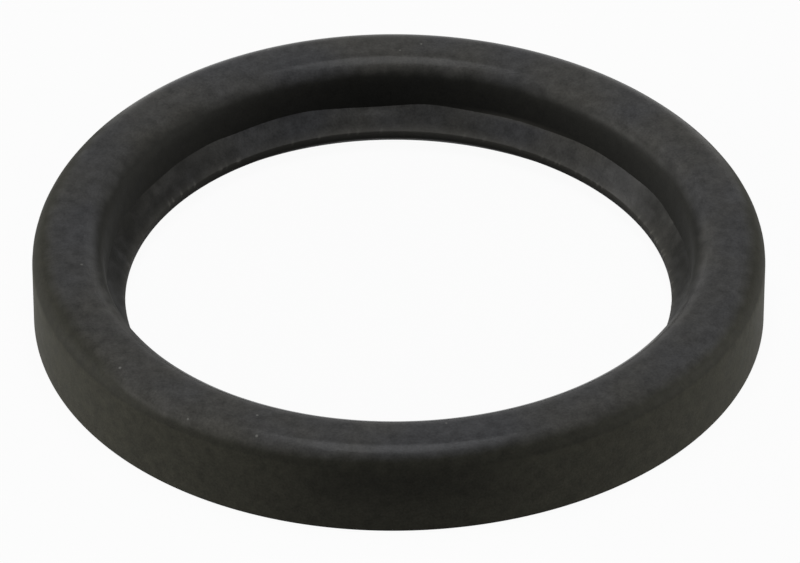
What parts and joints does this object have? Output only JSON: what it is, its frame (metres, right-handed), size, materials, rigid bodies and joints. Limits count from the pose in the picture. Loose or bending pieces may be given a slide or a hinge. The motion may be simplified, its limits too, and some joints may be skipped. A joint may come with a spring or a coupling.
{
  "type": "oil filler cap seal",
  "caption": "Thick black rubber ring with a rounded crown, a flat base and a bevelled inner lip, which seals a filler cap against its neck.",
  "frame": {"origin": "centre of the flat base, on the ring's axis", "axes": "+Z along the ring's axis, from the flat base towards the rounded crown; X and Y are any two radii at right angles, because the ring is the same all round"},
  "size_m": [0.054, 0.054, 0.0069],
  "materials": {
    "moulded_rubber": "satin black moulded rubber, faintly clouded and dusty"
  },
  "bodies": {
    "root": {"seal_ring": "moulded_rubber"}
  },
  "joints": []
}
